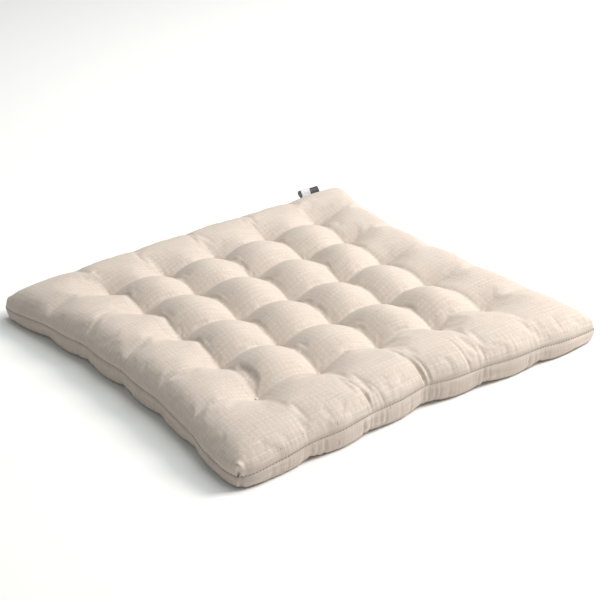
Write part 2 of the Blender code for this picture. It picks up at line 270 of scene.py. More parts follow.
# %% [markdown]
# ## Thread, fibre and tape
# The tie thread is a matt cotton in the cloth's own colour, and the seam's is a darker taupe one.
# The fill is crimped polyester fibre, white and soft. The care label is a white woven tape, and the
# tag beside it is a black satin one, both rather matt. Each finish has two close colours, mixed by a
# fine grain and by soft bands that run across it at a slant, which also make its slight relief.
# %% Thread, fibre and tape finishes
def grained_finish(name, colour, second, roughness, grain, sheen, depth):
    """A finish in two hex colours. Its grain is `grain` mm wide, and its relief is `depth` mm."""
    finish = bpy.data.materials.new(name)
    finish.use_nodes = True
    shader = finish.node_tree.nodes["Principled BSDF"]
    place = add_node(finish, "ShaderNodeTexCoord").outputs["Object"]
    slanting = {"wave_type": "BANDS", "bands_direction": "DIAGONAL", "wave_profile": "SIN"}
    # This scale sets the bands about three grains apart.
    spacing = {"Vector": place, "Scale": 125 / grain, "Distortion": 0.8, "Detail": 2.0}
    bands = add_node(finish, "ShaderNodeTexWave", slanting, spacing).outputs[1]
    fineness = {"Vector": place, "Scale": 1000 / grain, "Detail": 2.0}
    specks = add_node(finish, "ShaderNodeTexNoise", {}, fineness).outputs[0]
    mixed = maths(finish, "MULTIPLY", bands, specks)
    colours = mix(finish, mixed, linear(colour), linear(second))
    bump = {"Height": mixed, "Strength": 0.5, "Distance": depth * MM}
    relief = add_node(finish, "ShaderNodeBump", {}, bump).outputs[0]
    finish.node_tree.links.new(colours, shader.inputs["Base Color"])
    finish.node_tree.links.new(relief, shader.inputs["Normal"])
    shader.inputs["Roughness"].default_value = roughness
    shader.inputs["Sheen Weight"].default_value = sheen
    return finish


thread_finish = grained_finish("ecru_cotton_thread", "#CFC1AE", "#E6DACA", 0.75, 1.25, 0.1, 0.08)
seam_thread_finish = grained_finish("taupe_cotton_thread", "#6E6055", "#8C7C6E", 0.75, 1.25, 0.1, 0.08)
fibre_finish = grained_finish("white_polyester_fibre", "#EDEDEB", "#FFFFFF", 0.95, 7.5, 0.4, 0.6)
white_tape = grained_finish("white_woven_tape", "#C2C4C6", "#DADBDC", 0.6, 1.25, 0.1, 0.06)
black_tape = grained_finish("black_satin_tape", "#0B0B0C", "#17171A", 0.55, 1.0, 0.0, 0.03)
finishes = (thread_finish, seam_thread_finish, fibre_finish, white_tape, black_tape)
print("finishes:", ", ".join(finish.name for finish in finishes))

# %% [markdown]
# ## Cutting the two panels
# A pad like this is cut larger than it ends up: filling it and tying it down draws the cloth in. The
# panels could be shaped by hand, but then every hollow, valley and pulled-in edge would have to be
# guessed. Here they are laid out as two grids that share their outer edge, each point with a place
# in the flat cut cloth and a rough starting place in the finished pad. The cloth simulation then
# finds the shape that the cut cloth takes when it is blown up between the ties.
# %% Grid lines through the ties
tie_boxes = {name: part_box(name) for name in sorted(frame["nodes"]) if name.startswith("tuft_tie_")}
tie_centres = {name: (low + high) / 2 for name, (low, high) in tie_boxes.items()}
tie_places = [c.x for c in tie_centres.values()]
HALF = 200 * MM  # half the pad's finished side
PITCH = (max(tie_places) - min(tie_places)) / 4  # between two ties
CUT_PITCH = 69 * MM  # the same step on the flat cloth
CUT_BAND = 84 * MM  # flat cloth from the outer ties to the seam
CELLS = 26  # mesh steps between two ties
BAND_CELLS = 26  # mesh steps from the outer ties to the seam


def around_ties():
    """Grid places of each tie and of the four points beside it."""
    for i in TUFT_AT:
        for j in TUFT_AT:
            for di, dj in ((0, 0), (1, 0), (-1, 0), (0, 1), (0, -1)):
                yield i + di, j + dj


def grid_lines(pitch, band):
    """Where the grid's lines lie across the pad. Steps get shorter towards the seam."""
    reach = 2 * pitch
    steps = np.arange(BAND_CELLS) / BAND_CELLS
    from_seam = band * (0.6 * steps + 0.4 * steps**2)
    middle = np.linspace(-reach, reach, 4 * CELLS + 1)
    return np.concatenate([-reach - band + from_seam, middle, (reach + band - from_seam)[::-1]])


made_lines = grid_lines(PITCH, HALF - 2 * PITCH)
cut_lines = grid_lines(CUT_PITCH, CUT_BAND)
CUT_HALF = float(cut_lines[-1])
COUNT = len(made_lines)
TUFT_AT = [BAND_CELLS + CELLS * k for k in range(5)]
regular = np.array([[(PITCH * i, PITCH * j) for j in range(-2, 3)] for i in range(-2, 3)])
in_rows = np.array([tuple(c)[:2] for c in tie_centres.values()]).reshape(5, 5, 2).transpose(1, 0, 2)
tie_shift = in_rows - regular
print("ties stand off a regular grid by up to", round(float(np.abs(tie_shift).max()) / MM, 1), "mm")
print(f"{COUNT} lines each way, cut side {2 * CUT_HALF / MM:.0f} mm, finished side {2 * HALF / MM:.0f} mm")

# %% [markdown]
# ## The made-up shape to start from
# The simulation needs a start that is close to the finished pad. Its plan is a square whose edges
# are drawn in by different amounts, as a table for each edge says, because the filling was pushed in
# by hand. One corner stands a little out and up. The heights are blended from a few levels: at a
# tie, in the valley between two ties and at the top of a pillow. In the outer band the valleys are
# a little higher and the pillows lower. The valleys fade towards the seam, and the lower cover drops
# steeply from it like a wall.
# %% Levels and edge tables
TOP_DENT, BOTTOM_DENT = 25 * MM, 15 * MM  # the two covers' heights at a tie
TOP_VALLEY, TOP_CROWN = 34.5 * MM, 46 * MM
BAND_VALLEY, BAND_CROWN = 36.2 * MM, 39 * MM  # the same in the outer band
BOTTOM_VALLEY, BOTTOM_CROWN = 3.5 * MM, -3 * MM
SEAM_HEIGHT, CORNER_DROP = 22 * MM, 10 * MM
PILLOW_CHANGE = 1.0 * MM  # the pillows' heights vary by about this much
# The lower cover's wall: its width across the pad, and how far it swells out.
WALLS = {"left": 12 * MM, "front": 9 * MM, "right": 10 * MM, "back": 12 * MM}
BELLY = {"left": 1 * MM, "front": 2 * MM, "right": 2 * MM, "back": 1 * MM}
ROUNDING = (3.5 * MM, 0.5 * MM)  # how far a tip is drawn in: the front left one, and the others
FADE, BACK_FADE = 0.3, 0.65  # share of a valley that is gone before it gets to the seam
BAND = HALF - 2 * PITCH
RAISED_CORNER = Vector((11 * MM, -5 * MM, 8 * MM))  # how far the back right corner is shifted

DRAWN_IN = {  # place along each edge and how far it is drawn in there, in mm; below 0 is outwards
    "left": (
        (-200, 0), (-182, -2), (-150, 0), (-125, 5), (-94, 8), (-63, 11), (-31, 10.5), (0, 13),
        (31, 10.5), (63, 12), (94, 8), (125, 6), (165, 0), (186, -2), (200, 0),
    ),
    "front": (
        (-200, 0), (-185, -4), (-150, -4), (-125, -2), (-94, -4), (-63, 0), (-31, 1), (0, 6),
        (31, 0), (63, -1), (95, -5), (125, -4), (150, -6), (170, -5), (195, -2), (200, 0),
    ),
    "right": (
        (-200, 0), (-165, 3), (-125, 9), (-94, 10), (-63, 15), (-31, 15), (0, 18),
        (31, 15), (63, 16), (94, 12), (125, 10), (165, 3), (200, 0),
    ),
    "back": (
        (-200, 0), (-165, 0), (-125, 4), (-94, 2.5), (-63, 6), (-31, 4), (0, 6),
        (31, 4), (63, 6), (94, 3.5), (125, 4.5), (150, 3), (165, 2), (200, 0),
    ),
}


# %% The shape's parts
def smooth_step(x):
    """0 below 0, 1 above 1, and a smooth rise between."""
    x = np.clip(x, 0, 1)
    return x * x * (3 - 2 * x)


def drawn_in(edge, along):
    """How far an edge is drawn in at these places, with the table's corners rounded off."""
    places, amounts = np.array(DRAWN_IN[edge]).T * MM
    fine = np.linspace(-HALF, HALF, 401)
    kernel = np.exp(-((np.arange(-20, 21) / 6) ** 2))
    padded = np.pad(np.interp(fine, places, amounts), 20, mode="edge")
    rounded = np.convolve(padded, kernel / kernel.sum(), "valid")
    return np.interp(along, fine, rounded - rounded[0])


def edge_rise(p, reach, power):
    """0 at the seam and 1 from `reach` inwards. A higher power makes it steeper at the seam."""
    near = np.minimum((HALF - np.abs(p)) / reach, 1)
    return np.clip(1 - (1 - near) ** power, 0, 1) ** (1 / power)


def both_rises(one, other):
    """One rise from the two edges' rises, fuller at a corner than their product is."""
    return np.clip(1 - ((1 - one) ** 3 + (1 - other) ** 3) ** (1 / 3), 0, 1)


def pillow_wave(p, other, fade):
    """0 on the tie lines and 1 midway between them. The lines fade out where `other` nears the seam."""
    beyond = np.clip((np.abs(p) - 2 * PITCH) / BAND, 0, 1)
    in_the_band = np.sin(math.pi / 2 * np.minimum(1, beyond * 2))
    wave = np.where(beyond > 0, in_the_band, np.abs(np.sin(math.pi * p / PITCH)))
    faded = fade * smooth_step((np.abs(other) - 2 * PITCH) / BAND / 0.6)
    return wave + (1 - wave) * faded


def pillow_height(dent, valley, crown, across, along):
    """Height of one panel from the heights of its ties, its valleys and its pillows."""
    lift = 2 * (valley - dent)
    return dent + lift * (across + along) / 2 + (crown - dent - lift) * across * along


def between_ties(p, q, amounts):
    """Values given at the 25 ties, spread smoothly over the pad and down to 0 at the seam."""
    lines = np.array([-HALF, *(PITCH * np.arange(-2, 3)), HALF])
    table = np.pad(amounts, 1)
    i, j = (np.clip(np.searchsorted(lines, c, side="right") - 1, 0, 5) for c in (p, q))
    s = smooth_step((p - lines[i]) / (lines[i + 1] - lines[i]))
    t = smooth_step((q - lines[j]) / (lines[j + 1] - lines[j]))
    near = table[i, j] * (1 - t) + table[i, j + 1] * t
    far = table[i + 1, j] * (1 - t) + table[i + 1, j + 1] * t
    return near * (1 - s) + far * s


# %% Starting shape
u, v = np.meshgrid(made_lines, made_lines, indexing="ij")
cut_u, cut_v = np.meshgrid(cut_lines, cut_lines, indexing="ij")
to_tip = (np.abs(u * v) / HALF**2) ** 2.5
to_corner = np.where((u > 0) & (v > 0), smooth_step(u / HALF) * smooth_step(v / HALF) * to_tip, 0)
waves = pillow_wave(u, v, np.where(v > 0, BACK_FADE, FADE)), pillow_wave(v, u, FADE)
in_band = smooth_step((np.maximum(np.abs(u), np.abs(v)) - 2 * PITCH) / BAND / 0.12)
changes = np.random.default_rng(SEED).normal(0, PILLOW_CHANGE, (5, 5))
pillow_change = between_ties(u - PITCH / 2, v - PITCH / 2, changes)
valley = TOP_VALLEY + (BAND_VALLEY - TOP_VALLEY) * in_band
crown = TOP_CROWN + (BAND_CROWN - TOP_CROWN) * in_band + pillow_change
seam_z = SEAM_HEIGHT - CORNER_DROP * to_tip + RAISED_CORNER.z * to_corner
rise = both_rises(edge_rise(u, BAND / 2, 2.5), edge_rise(v, BAND / 2, 2.5))
top_z = seam_z + (pillow_height(TOP_DENT, valley, crown, *waves) - SEAM_HEIGHT) * rise
drop_u = edge_rise(u, np.where(u > 0, WALLS["right"], WALLS["left"]), 2.2)
drop_v = edge_rise(v, np.where(v > 0, WALLS["back"], WALLS["front"]), 2.2)
drop = drop_u * drop_v
bottom_z = seam_z + (pillow_height(BOTTOM_DENT, BOTTOM_VALLEY, BOTTOM_CROWN, *waves) - seam_z) * drop
bottom_z = np.minimum(bottom_z, top_z)


def plan(p, q, low_edge, high_edge):
    """The place across the pad once both edges are drawn in."""
    outer = (np.abs(p) / HALF) ** 4
    return p - np.where(p > 0, drawn_in(high_edge, q), -drawn_in(low_edge, q)) * outer


x = plan(u, v, "left", "right") + RAISED_CORNER.x * to_corner + between_ties(u, v, tie_shift[..., 0])
y = plan(v, u, "front", "back") + RAISED_CORNER.y * to_corner + between_ties(u, v, tie_shift[..., 1])
tip = np.where((u < 0) & (v < 0), *ROUNDING) * (np.abs(u * v) / HALF**2) ** 25
x, y = x - np.sign(u) * tip, y - np.sign(v) * tip
bottom_x = x + np.where(u > 0, BELLY["right"], -BELLY["left"]) * 4 * drop_u * (1 - drop_u) * drop_v
bottom_y = y + np.where(v > 0, BELLY["back"], -BELLY["front"]) * 4 * drop_v * (1 - drop_v) * drop_u
for place in around_ties():
    top_z[place], bottom_z[place] = TOP_DENT, BOTTOM_DENT

inner = np.zeros((COUNT, COUNT), bool)
inner[1:-1, 1:-1] = True
top_index = np.arange(COUNT**2).reshape(COUNT, COUNT)
bottom_index = top_index.copy()
bottom_index[inner] = COUNT**2 + np.arange(inner.sum())
top_start = np.stack([x, y, top_z], -1).reshape(-1, 3)
start = np.concatenate([top_start, np.stack([bottom_x, bottom_y, bottom_z], -1)[inner]])
start[:, 2] = np.maximum(start[:, 2], 0.2 * MM)
flat = np.concatenate([np.stack([cut_u, cut_v], -1).reshape(-1, 2), np.stack([cut_u, cut_v], -1)[inner]])
a, b = top_index, bottom_index
top_faces = np.stack([a[:-1, :-1], a[1:, :-1], a[1:, 1:], a[:-1, 1:]], -1).reshape(-1, 4)
bottom_faces = np.stack([b[:-1, :-1], b[:-1, 1:], b[1:, 1:], b[1:, :-1]], -1).reshape(-1, 4)
print("points:", len(start), "faces:", len(top_faces) + len(bottom_faces))

# %% [markdown]
# ## Sewing, filling and tying by simulation
# Blender's Cloth finds how the cloth lies between its ties. Pressure from inside does the
# filling's work, and a small negative shrink makes the cloth a little too large for the shape,
# as it is on a real pad, so that it puckers round the ties. Held still are the ties, the seam, the
# four corner tips, and the lower cover inside its walls, which rests on the seat. Gravity is off,
# because the fill carries the cloth. How far a point may move is capped, and more tightly below the
# seam, so the pad keeps its size. The finished mesh has no simulation left on it.
# %% Cloth simulation
def cloth_body():
    """The two panels as one closed mesh, with the places on the flat cloth in a UV map."""
    mesh = bpy.data.meshes.new("sewn_panels")
    mesh.from_pydata(start.tolist(), [], np.concatenate([top_faces, bottom_faces]).tolist())
    mesh.update()
    layer = mesh.uv_layers.new(name="cut")
    corners = np.zeros(len(mesh.loops), np.int32)
    mesh.loops.foreach_get("vertex_index", corners)
    layer.data.foreach_set("uv", flat[corners].ravel().astype(np.float32))
    mesh.materials.append(cotton_top)
    mesh.materials.append(cotton_bottom_painted_shade)
    sides = np.repeat([0, 1], [len(top_faces), len(bottom_faces)])
    mesh.polygons.foreach_set("material_index", sides.astype(np.int32))
    body = bpy.data.objects.new("sewn_panels", mesh)
    bpy.context.scene.collection.objects.link(body)
    return body


BASE_MARGIN, TIP_STEPS = 9, 3  # grid steps from the seam to the held base, and held at each tip


def held_points():
    """The points that the simulation keeps still."""
    held = [index[place] for place in around_ties() for index in (top_index, bottom_index)]
    held += list(bottom_index[BASE_MARGIN:-BASE_MARGIN, BASE_MARGIN:-BASE_MARGIN].ravel())
    held += [*top_index[0], *top_index[-1], *top_index[:, 0], *top_index[:, -1]]
    for rows in (slice(0, TIP_STEPS), slice(-TIP_STEPS, None)):
        for columns in (slice(0, TIP_STEPS), slice(-TIP_STEPS, None)):
            held += list(top_index[rows, columns].ravel()) + list(bottom_index[rows, columns].ravel())
    return sorted({int(k) for k in held})


PRESSURE, SHEET_MASS, BENDING, SLACK, FRAMES = 25.0, 0.02, 0.1, 0.015, 14

panels = cloth_body()
settled = start.copy()
select_only(panels)
still = panels.vertex_groups.new(name="held still")
still.add(held_points(), 1.0, "REPLACE")
cloth = panels.modifiers.new("Cloth", "CLOTH")
settings = cloth.settings
settings.quality = 6
settings.mass = SHEET_MASS
settings.tension_stiffness = settings.compression_stiffness = 15
settings.shear_stiffness = 5
settings.bending_stiffness = BENDING
settings.shrink_min = -SLACK
settings.use_pressure = True
settings.uniform_pressure_force = PRESSURE
settings.vertex_group_mass = "held still"
settings.effector_weights.gravity = 0
cloth.collision_settings.use_collision = False
cloth.point_cache.frame_end = FRAMES
for frame_number in range(1, FRAMES + 1):
    bpy.context.scene.frame_set(frame_number)
blown = panels.evaluated_get(bpy.context.evaluated_depsgraph_get())
places = np.zeros(len(start) * 3, np.float32)
blown.data.vertices.foreach_get("co", places)
settled = places.reshape(-1, 3).astype(float)
panels.modifiers.clear()
panels.vertex_groups.clear()
bpy.context.scene.frame_set(1)

# %% Cap the moves
SMALL_CAP, LARGE_CAP = 3 * MM, 7 * MM  # at the seam and below it, and on the upper cover
CAP_RISE = 25 * MM  # from the seam to where the larger cap holds

inward = CUT_HALF - np.abs(flat).max(1)
is_top = np.zeros(len(start), bool)
is_top[top_index[inner]] = True
cap = SMALL_CAP + is_top * (LARGE_CAP - SMALL_CAP) * smooth_step(inward / CAP_RISE)
moves = settled - start
lengths = np.maximum(np.linalg.norm(moves, axis=1), 1e-9)
coarse = start + moves * (cap * np.tanh(lengths / cap) / lengths)[:, None]
panels.data.vertices.foreach_set("co", coarse.ravel().astype(np.float32))
panels.data.update()
filled_size = (coarse.max(0) - coarse.min(0)) / MM
print("filled size in mm:", np.round(filled_size, 1), "moved up to", round(lengths.max() / MM, 1))

# %% [markdown]
# ## Finer cloth, then the two covers
# One level of subdivision rounds the steps of the simulation's grid. The mesh is then separated
# along the seam, where its two materials meet, into the upper and the lower cover.
# %% Subdivide and separate
select_only(panels)
finer = panels.modifiers.new("Finer", "SUBSURF")
finer.levels = finer.render_levels = 1
finer.uv_smooth = "NONE"
bpy.ops.object.modifier_apply(modifier="Finer")
bpy.ops.object.mode_set(mode="EDIT")
bpy.ops.mesh.select_all(action="SELECT")
bpy.ops.mesh.separate(type="MATERIAL")
bpy.ops.object.mode_set(mode="OBJECT")
halves = list(bpy.context.selected_objects)
bottom_cover = min(halves, key=lambda h: sum(c[2] for c in h.bound_box))
top_cover = next(h for h in halves if h is not bottom_cover)
named_covers = (
    (top_cover, "top_cover_cloth", cotton_top),
    (bottom_cover, "bottom_cover_cloth", cotton_bottom_painted_shade),
)
for piece, name, cloth_finish in named_covers:
    piece.name = piece.data.name = name
    piece.data.materials.clear()
    piece.data.materials.append(cloth_finish)
    piece.data.polygons.foreach_set("material_index", np.zeros(len(piece.data.polygons), np.int32))
    print(name, len(piece.data.vertices), "points")

# %% [markdown]
# ## Gathers, puckers and tucked corners
# Cloth that is drawn in has to go somewhere. On the real pad it stands in small gathers that run in
# from the seam, bunched where a row of ties ends at the edge, and deeper below the seam than above
# it. The simulation's mesh is too coarse for them, so each gather is added to the finer cloth as a
# short crease with a low ridge on each side. A crease has a place along the seam, a length, a width,
# a depth and a slant, and a seeded random generator varies them. A few long ones have their own list.
# Short folds fan out from each tie, and each corner has a small tuck. All of them fade out at the
# seam, where the two covers must still meet.
# %% Reading and writing a cover's points
def read_points(piece):
    """A piece's points, their normals, and their places on the flat cut cloth."""
    mesh = piece.data
    size = len(mesh.vertices)
    points, normals = np.zeros(size * 3, np.float32), np.zeros(size * 3, np.float32)
    mesh.vertices.foreach_get("co", points)
    mesh.vertices.foreach_get("normal", normals)
    corners, uvs = np.zeros(len(mesh.loops), np.int32), np.zeros(len(mesh.loops) * 2, np.float32)
    mesh.loops.foreach_get("vertex_index", corners)
    mesh.uv_layers["cut"].data.foreach_get("uv", uvs)
    on_cloth = np.zeros((size, 2))
    on_cloth[corners] = uvs.reshape(-1, 2)
    return points.reshape(-1, 3).astype(float), normals.reshape(-1, 3).astype(float), on_cloth


def write_points(piece, points):
    """Give a piece new points."""
    piece.data.vertices.foreach_set("co", points.ravel().astype(np.float32))
    piece.data.update()


# %% Gathers
GATHER_REACH = 70 * MM  # no gather goes further in from the seam than this
GATHER_START = 2 * MM  # a gather comes up over this much from the seam
GATHER_SPACING = (4 * MM, 6.5 * MM)  # between the gathers of a bundle
GATHER_WIDTH = (1.2 * MM, 2.1 * MM)
BUNDLE_SHIFT = 3 * MM  # how far a bundle lies from its line of ties, roughly
STRAY_MARGIN, STRAY_SHARE = 20 * MM, 0.3  # single gathers: clear of the corners, and shallow


def gather_list(rng, plenty, depth, length):
    """One side's gathers as place, length, width, depth and slant, in metres on the flat cloth."""
    found = []
    for line in np.arange(-2, 3) * CUT_PITCH:
        middle = line + rng.normal(0, BUNDLE_SHIFT)
        for number in range(plenty):
            step = rng.uniform(*GATHER_SPACING)
            found.append((middle + (number - plenty // 2) * step, rng.uniform(0.35, 1.0)))
    for _ in range(plenty * 3):
        found.append((rng.uniform(-1, 1) * (CUT_HALF - STRAY_MARGIN), STRAY_SHARE))
    return [
        (
            place,
            length * rng.uniform(0.5, 1.25) * (0.6 + 0.4 * share),
            rng.uniform(*GATHER_WIDTH),
            depth * rng.uniform(0.6, 1.2) * share,
            rng.normal(0, 0.16),
        )
        for place, share in found
    ]


def gather_depth(along, away, gathers):
    """How far the cloth is pressed in at places `along` the seam and `away` from it."""
    depth = np.zeros(len(along))
    close = away < GATHER_REACH
    s, d = along[close], away[close]
    total = np.zeros(len(s))
    for place, length, width, deep, slant in gathers:
        wander = 0.002 * np.sin(d / 0.011 + place * 90)
        x = (s - place - slant * d - wander) / (width * (1 + d / (2.2 * length)))
        fade = np.clip(1 - d / length, 0, 1) ** 1.3 * np.clip(d / GATHER_START, 0, 1)
        total += deep * fade * np.exp(-(x**2)) * (1 - 0.55 * x**2)
    depth[close] = total
    return depth


LONG_CREASES = (  # in the upper cover at the front edge: place, length, width, depth and slant
    (0 * MM, 66 * MM, 1.7 * MM, 3.0 * MM, -0.16),
    (5 * MM, 40 * MM, 1.4 * MM, 1.4 * MM, -0.1),
    (-68 * MM, 54 * MM, 1.5 * MM, 1.9 * MM, -0.14),
    (-55 * MM, 34 * MM, 1.5 * MM, 1.0 * MM, -0.1),
    (52 * MM, 52 * MM, 1.5 * MM, 1.5 * MM, -0.2),
)


# %% Tucked corners and puckers at the ties
FULL_TUCK, SMALL_TUCK = 1.0, 0.25  # the front left corner's, and the others'
PUCKER_DEPTH, PUCKER_REACH = 0.15, 30  # mm
PUCKER_RING, PUCKER_SPREAD = 7, 6  # mm: the folds are deepest on a ring round the tie


def tucked_corner(points, on_cloth, part):
    """Each corner's spare cloth, in mm: a hood over a hollow tip, and an upright strip below it."""
    for su in (-1, 1):
        for sv in (-1, 1):
            du, dv = CUT_HALF - su * on_cloth[:, 0], CUT_HALF - sv * on_cloth[:, 1]
            inwards, across = (du + dv) / 1.414 / MM, (du - dv) / 1.414 / MM
            outward = np.array([su, sv, 0]) / 1.414
            size = FULL_TUCK if (su, sv) == (-1, -1) else SMALL_TUCK
            if part > 0:
                hood = 3.2 * np.exp(-(((inwards - 6.5) / 3.2) ** 2) - ((across - 1) / 3.2) ** 2)
                hollow = 3.0 * np.exp(-(((inwards - 1.5) / 2.2) ** 2) - ((across - 1.2) / 1.9) ** 2)
                points[:, 2] += (hood - 0.6 * hollow) * size * MM
                points += outward * ((0.9 * hood - 1.3 * hollow) * size * MM)[:, None]
            else:
                strip = 1.5 * np.exp(-(((across + 0.6) / 1.1) ** 2) - (inwards / 10) ** 2)
                tuck = 1.9 * np.exp(-(((across - 1.8) / 1.1) ** 2) - (inwards / 10) ** 2)
                points += outward * ((strip - tuck) * size * MM)[:, None]


def tie_puckers(rng, points, normals, on_cloth):
    """Short folds that fan out from each tie, six to eight of them, each tie with its own turn."""
    for column in range(-2, 3):
        for row in range(-2, 3):
            away = (on_cloth - np.array([column, row]) * CUT_PITCH) / MM
            far = np.linalg.norm(away, axis=1)
            near = far < PUCKER_REACH
            angle = np.arctan2(away[near, 1], away[near, 0])
            folds, turn = rng.integers(6, 9), rng.uniform(0, 6.3)
            wave = np.cos(folds * angle + turn) + 0.5 * np.cos((folds + 3) * angle - turn)
            size = PUCKER_DEPTH * MM * np.exp(-(((far[near] - PUCKER_RING) / PUCKER_SPREAD) ** 2))
            points[near] += normals[near] * (wave * size)[:, None]


# %% Shape the covers
CORNER_CLEAR = 22 * MM  # gathers die away over this much before a corner
SEAM_BLEND = 1.5 * MM  # a corner's tuck dies away over this much before the seam
ROLL_HEIGHT, ROLL_PLACE, ROLL_SPREAD = 0.1 * MM, 4 * MM, 2.5 * MM  # a slight roll beside the seam
BASE_SOFTNESS = 0.8 * MM  # rounds the lower cover off where it meets the seat


def shape_cover(piece, seed, plenty, depth, length, part):
    """Add gathers, puckers and corners to one cover. `part` is 1 above the seam and -1 below."""
    rng = np.random.default_rng(seed)
    points, normals, on_cloth = read_points(piece)
    distance = CUT_HALF - np.abs(on_cloth)
    for axis in (0, 1):
        for sign in (-1, 1):
            gathers = gather_list(rng, plenty, depth, length)
            if part > 0 and (axis, sign) == (1, -1):
                gathers += LONG_CREASES
            on_side = (on_cloth[:, axis] * sign > 0) & (distance[:, axis] < GATHER_REACH)
            along, away = on_cloth[on_side, 1 - axis], distance[on_side, axis]
            end = np.clip(distance[on_side, 1 - axis] / CORNER_CLEAR, 0, 1)
            inwards = gather_depth(along, away, gathers) * end
            points[on_side] -= normals[on_side] * inwards[:, None]
    tie_puckers(rng, points, normals, on_cloth)
    nearest = distance.min(1)
    untucked = points.copy()
    tucked_corner(points, on_cloth, part)
    points = untucked + (points - untucked) * smooth_step(nearest / SEAM_BLEND)[:, None]
    roll = ROLL_HEIGHT * np.exp(-(((nearest - ROLL_PLACE) / ROLL_SPREAD) ** 2))
    points += normals * roll[:, None]
    if part < 0:
        points[:, 2] = 0.5 * (points[:, 2] + np.sqrt(points[:, 2] ** 2 + BASE_SOFTNESS**2))
    write_points(piece, points)
    return points, on_cloth


top_points, top_cut = shape_cover(top_cover, SEED, 3, 1.1 * MM, 34 * MM, 1)
bottom_points, bottom_cut = shape_cover(bottom_cover, SEED + 1, 5, 1.9 * MM, 26 * MM, -1)
print("top cover rises to", round(top_points[:, 2].max() / MM, 1), "mm")

# %% [markdown]
# ## Cloth thickness
# The cotton is about 0.8 mm thick. Solidify gives each cover its inside and closes its raw edge, so
# both are closed bodies that meet at the seam and nowhere else.
# %% Thickness
CLOTH_THICKNESS = 0.8 * MM

for piece in (top_cover, bottom_cover):
    select_only(piece)
    thick = piece.modifiers.new("Thickness", "SOLIDIFY")
    thick.thickness = CLOTH_THICKNESS
    thick.offset = -1
    bpy.ops.object.modifier_apply(modifier="Thickness")
    bpy.ops.object.shade_smooth()
    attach(piece, "pad")
    print(piece.name, len(piece.data.polygons), "faces")
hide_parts("top_cover")
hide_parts("bottom_cover")

# %% [markdown]
# ## The fibre filling
# The filling takes the shape of the bag it is pushed into. It is the simulated mesh again, before
# it was refined, drawn in along its normals so that it sits just inside the covers.
# %% Filling
INSET = 5.0 * MM  # how far inside the covers' outer faces the filling stays
RIM_SHRINK = 0.035  # how much narrower it is at the rim, as a share
FILL_BASE = 2.0 * MM  # its lowest height

fill_mesh = bpy.data.meshes.new("filling_fibre")
fill_mesh.from_pydata(coarse.tolist(), [], np.concatenate([top_faces, bottom_faces]).tolist())
fill_mesh.update()
fill_normals = np.zeros(len(fill_mesh.vertices) * 3, np.float32)
fill_mesh.vertices.foreach_get("normal", fill_normals)
fill_points = coarse - fill_normals.reshape(-1, 3) * INSET
fill_points[:, :2] *= 1 - RIM_SHRINK * (np.abs(flat).max(1) / CUT_HALF)[:, None] ** 8
fill_points[:, 2] = np.maximum(fill_points[:, 2], FILL_BASE)
fill_mesh.vertices.foreach_set("co", fill_points.ravel().astype(np.float32))
fill_mesh.update()
filling = bpy.data.objects.new("filling_fibre", fill_mesh)
bpy.context.scene.collection.objects.link(filling)
fill_mesh.materials.append(fibre_finish)
select_only(filling)
bpy.ops.object.shade_smooth()
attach(filling, "pad")
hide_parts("filling")
print("filling faces:", len(fill_mesh.polygons))

# %% [markdown]
# ## The seam's stitches
# The seam is one long lockstitch. From outside, its thread shows only where it comes up between the
# two covers, once to each stitch, as a row of small dark dots. A single thread that runs just inside
# the seam and rises to the surface at each dot draws them. It is a curve with a round bevel, made
# into a mesh.
# %% Seam line and stitches
STITCH = 3.1 * MM
POINTS_PER_STITCH = 6
THREAD_RADIUS = 0.4 * MM
DOT_SHARE = 0.2  # the share of a stitch in which the thread is at the surface
DOT_DEPTH, SUNK_DEPTH = 0.05 * MM, 1.4 * MM  # how far inside the seam its centre runs


def seam_loop(points, on_cloth):
    """One cover's edge points in order round the pad, starting at the front-left corner."""
    away = CUT_HALF - np.abs(on_cloth)
    edge = np.flatnonzero(away.min(1) < 0.01 * MM)
    x, y = on_cloth[edge].T / CUT_HALF
    side = np.where(y <= -0.99999, 1 + x, np.where(x >= 0.99999, 3 + y, np.where(y >= 0.99999, 5 - x, 7 - y)))
    side = np.where((x <= -0.99999) & (y <= -0.99999), 0.0, side)
    order = np.argsort(side)
    return points[edge][order]


seam = (seam_loop(top_points, top_cut) + seam_loop(bottom_points, bottom_cut)) / 2
closed = np.vstack([seam, seam[:1]])
run = np.concatenate([[0], np.cumsum(np.linalg.norm(np.diff(closed, axis=0), axis=1))])
stitches = int(round(run[-1] / STITCH))


def along_seam(distance):
    """Points on the seam at these distances from its start."""
    return np.stack([np.interp(distance % run[-1], run, closed[:, k]) for k in range(3)], -1)


steps = np.arange(stitches * POINTS_PER_STITCH) / POINTS_PER_STITCH
at = steps * run[-1] / stitches
here = along_seam(at)
tangent = along_seam(at + 2 * MM) - along_seam(at - 2 * MM)
outwards = np.stack([tangent[:, 1], -tangent[:, 0], np.zeros(len(at))], -1)
outwards /= np.linalg.norm(outwards, axis=1)[:, None]
depth_inside = np.where(steps % 1 < DOT_SHARE, DOT_DEPTH, SUNK_DEPTH)
thread_points = here - outwards * depth_inside[:, None]

